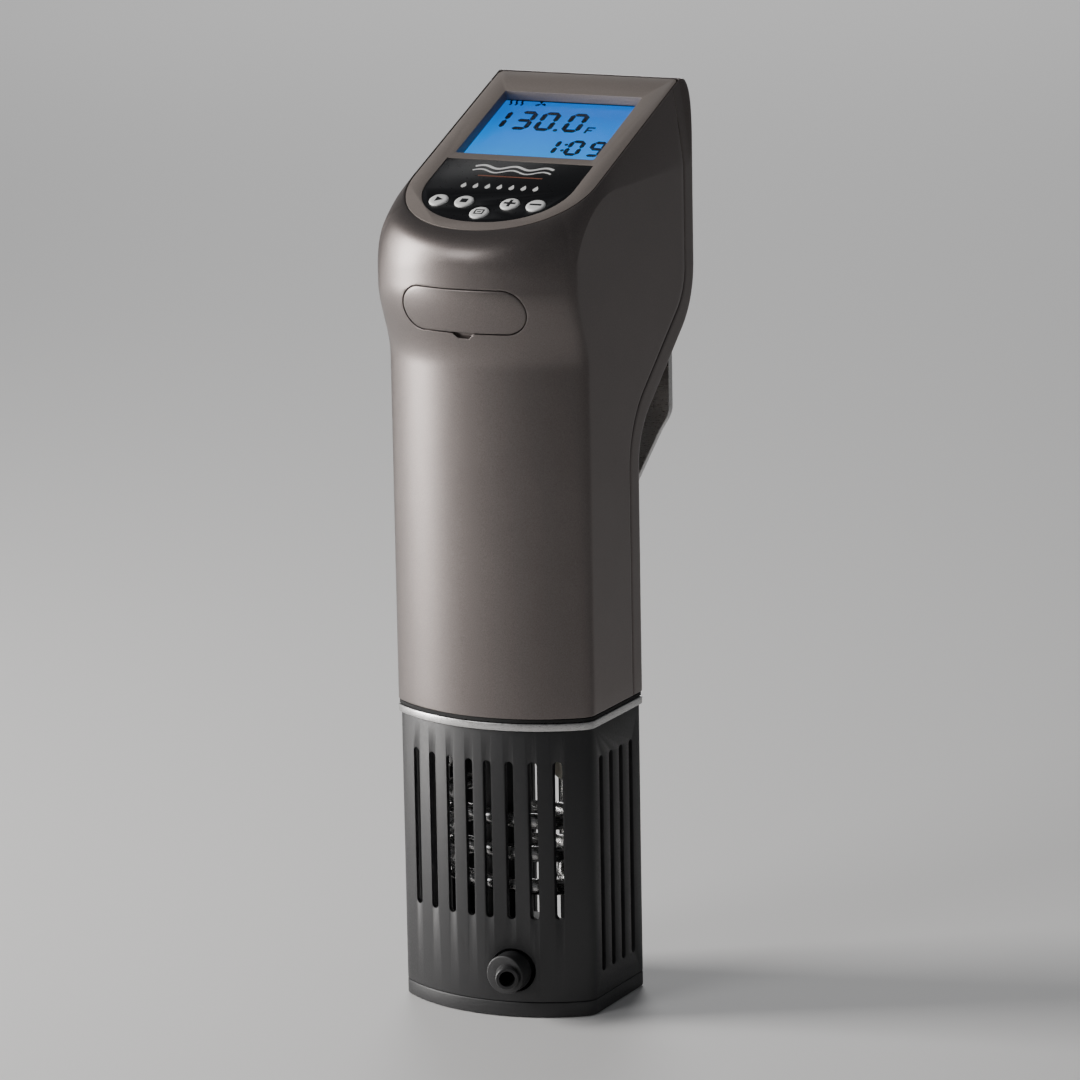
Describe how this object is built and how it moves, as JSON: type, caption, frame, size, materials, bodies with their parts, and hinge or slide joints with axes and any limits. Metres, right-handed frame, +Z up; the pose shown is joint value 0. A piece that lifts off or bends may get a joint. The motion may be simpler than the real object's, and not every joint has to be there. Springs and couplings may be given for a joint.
{
  "type": "sous vide circulator",
  "caption": "Immersion circulator: pewter head with sloped lit display and push buttons, neck with pot clamp, and a caged pump, heater coil and float below.",
  "frame": {"origin": "on the flat underside, below the pump shaft", "axes": "+Z up along the shaft, -Y out of the front below the control panel, +X to the right of someone facing the front"},
  "size_m": [0.086, 0.1416, 0.36],
  "materials": {
    "pewter_paint": "satin metallic",
    "bezel_plastic": "matte",
    "gloss_black": "gloss",
    "clear_lens": "gloss",
    "lcd_glass": "lit",
    "white_plastic": "satin",
    "circuit_board": "satin",
    "black_plastic": "matte",
    "winding_copper": "satin",
    "heatsink_aluminium": "satin",
    "pin_brass": "satin",
    "stainless": "brushed",
    "rubber": "matte",
    "ivory_plastic": "satin"
  },
  "bodies": {
    "casing": {"main_housing": "pewter_paint", "rear_cover": "pewter_paint", "badge_plate": "pewter_paint", "display_bezel": "bezel_plastic", "control_overlay": "gloss_black", "display_lens": "clear_lens", "lcd_panel": "lcd_glass", "backlight_frame": "white_plastic", "display_board": "circuit_board", "main_board": "circuit_board", "relay": "black_plastic", "capacitor": "black_plastic", "power_inlet": "black_plastic", "rocker_frame": "black_plastic", "pump_cage": "black_plastic", "cage_base": "black_plastic", "pump_column": "black_plastic", "pump_volute": "black_plastic", "transformer": "winding_copper", "stator_core": "winding_copper", "triac_heatsink": "heatsink_aluminium", "motor_end_bell": "heatsink_aluminium", "inlet_pin_live": "pin_brass", "inlet_pin_neutral": "pin_brass", "inlet_pin_earth": "pin_brass", "motor_can": "stainless", "upper_bearing": "stainless", "lower_bearing": "stainless", "bulkhead": "stainless", "heater_coil": "stainless", "temperature_probe": "stainless", "float_stem": "stainless", "float_stop": "stainless", "clamp_bracket": "stainless", "cover_screw_right_1": "stainless", "cover_screw_left_1": "stainless", "cover_screw_right_2": "stainless", "cover_screw_left_2": "stainless", "switch_mat": "rubber", "shaft_seal": "rubber", "neck_gasket": "rubber", "wall_pad": "rubber"},
    "rotor": {"drive_shaft": "stainless", "rotor_core": "stainless", "cooling_fan": "ivory_plastic", "impeller": "ivory_plastic"},
    "outlet_nozzle": {"outlet_nozzle": "black_plastic"},
    "float": {"float_ring": "ivory_plastic"},
    "rocker_key": {"rocker_key": "black_plastic"},
    "clamp_pad": {"clamp_pad": "rubber"},
    "clamp_screw": {"clamp_screw": "stainless", "clamp_knob": "black_plastic"},
    "button_play": {"button_play": "white_plastic"},
    "button_stop": {"button_stop": "white_plastic"},
    "button_plus": {"button_plus": "white_plastic"},
    "button_minus": {"button_minus": "white_plastic"},
    "button_menu": {"button_menu": "white_plastic"}
  },
  "joints": [
    {"name": "rotor_spin", "type": "hinge", "parent": "casing", "child": "rotor", "pos_m": [0, 0, 0.15], "axis": [0, 0, 1], "continuous": true},
    {"name": "nozzle_turn", "type": "hinge", "parent": "casing", "child": "outlet_nozzle", "pos_m": [0.013, -0.026, 0.019], "axis": [0, 1, 0], "range_deg": [-90, 90]},
    {"name": "float_rise", "type": "slide", "parent": "casing", "child": "float", "axis": [0, 0, 1], "range_m": [0, 0.008]},
    {"name": "rocker_tilt", "type": "hinge", "parent": "casing", "child": "rocker_key", "pos_m": [0.022, 0.0906, 0.318], "axis": [1, 0, 0], "range_deg": [0, 20]},
    {"name": "pad_slide", "type": "slide", "parent": "casing", "child": "clamp_pad", "axis": [0, -1, 0], "range_m": [-0.0135, 0.0045]},
    {"name": "screw_turn", "type": "hinge", "parent": "clamp_pad", "child": "clamp_screw", "pos_m": [0, 0.08, 0.203], "axis": [0, -1, 0], "range_deg": [-3250, 1090]},
    {"name": "play_press", "type": "slide", "parent": "casing", "child": "button_play", "axis": [0, 0.3827, -0.9239], "range_m": [0, 0.0006], "stiffness_N_per_m": 900},
    {"name": "stop_press", "type": "slide", "parent": "casing", "child": "button_stop", "axis": [0, 0.3827, -0.9239], "range_m": [0, 0.0006], "stiffness_N_per_m": 900},
    {"name": "plus_press", "type": "slide", "parent": "casing", "child": "button_plus", "axis": [0, 0.3827, -0.9239], "range_m": [0, 0.0006], "stiffness_N_per_m": 900},
    {"name": "minus_press", "type": "slide", "parent": "casing", "child": "button_minus", "axis": [0, 0.3827, -0.9239], "range_m": [0, 0.0006], "stiffness_N_per_m": 900},
    {"name": "menu_press", "type": "slide", "parent": "casing", "child": "button_menu", "axis": [0, 0.3827, -0.9239], "range_m": [0, 0.0006], "stiffness_N_per_m": 900}
  ],
  "couplings": [
    {"joint": "screw_turn", "follows": "pad_slide", "rad_per_m": 4188.8}
  ]
}
